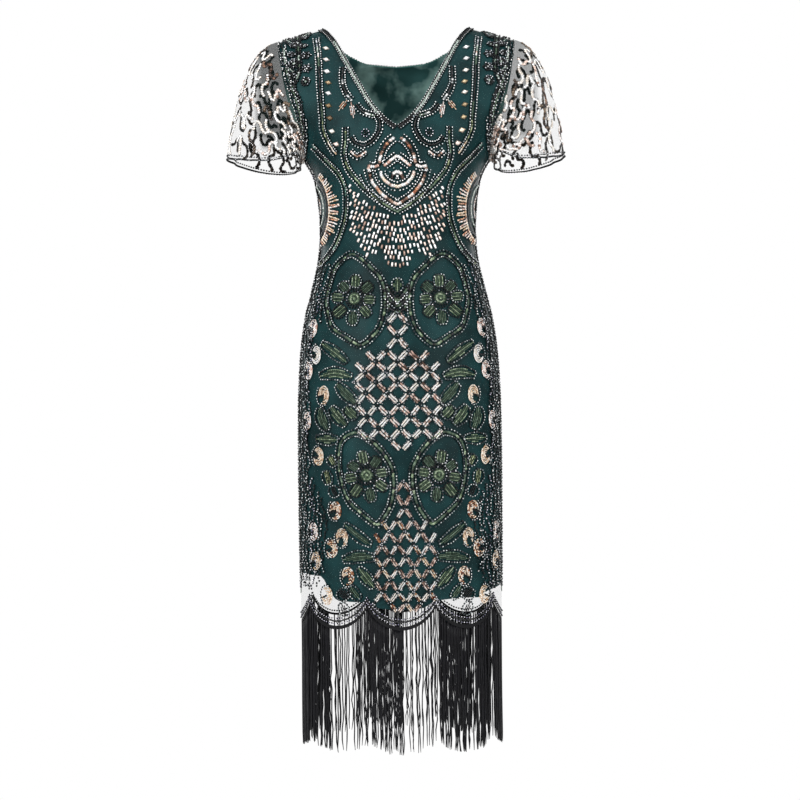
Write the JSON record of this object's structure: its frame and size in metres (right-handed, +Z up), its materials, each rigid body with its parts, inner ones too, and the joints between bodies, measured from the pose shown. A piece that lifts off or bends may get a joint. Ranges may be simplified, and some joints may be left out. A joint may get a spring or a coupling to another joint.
{
  "type": "flapper dress",
  "caption": "Knee-length beaded net sheath dress over a satin slip, with a V neck, flared net sleeves, a scalloped hem and a long fringe.",
  "frame": {"origin": "midway between the two high shoulder points, where the neck opening meets the shoulder seams and the wearer's shoulders hold the dress", "axes": "+Z up; the front faces -Y; +X is to the right when looking at the front, which is the wearer's left"},
  "size_m": [0.55, 0.246, 1.1455],
  "materials": {
    "net": "fine black nylon net, beaded and sequinned all over",
    "lining": "teal green polyester satin",
    "beads": "rows of glass seed beads and sequins",
    "fringe": "black rayon"
  },
  "bodies": {
    "root": {"front_net": "net", "back_net": "net", "front_lining": "lining", "back_lining": "lining", "left_sleeve": "net", "right_sleeve": "net", "left_cuff_band": "beads", "right_cuff_band": "beads", "left_neck_trim": "beads", "right_neck_trim": "beads", "back_neck_binding": "lining", "front_fringe_braid": "fringe", "back_fringe_braid": "fringe", "front_fringe": "fringe", "back_fringe": "fringe"}
  },
  "joints": []
}
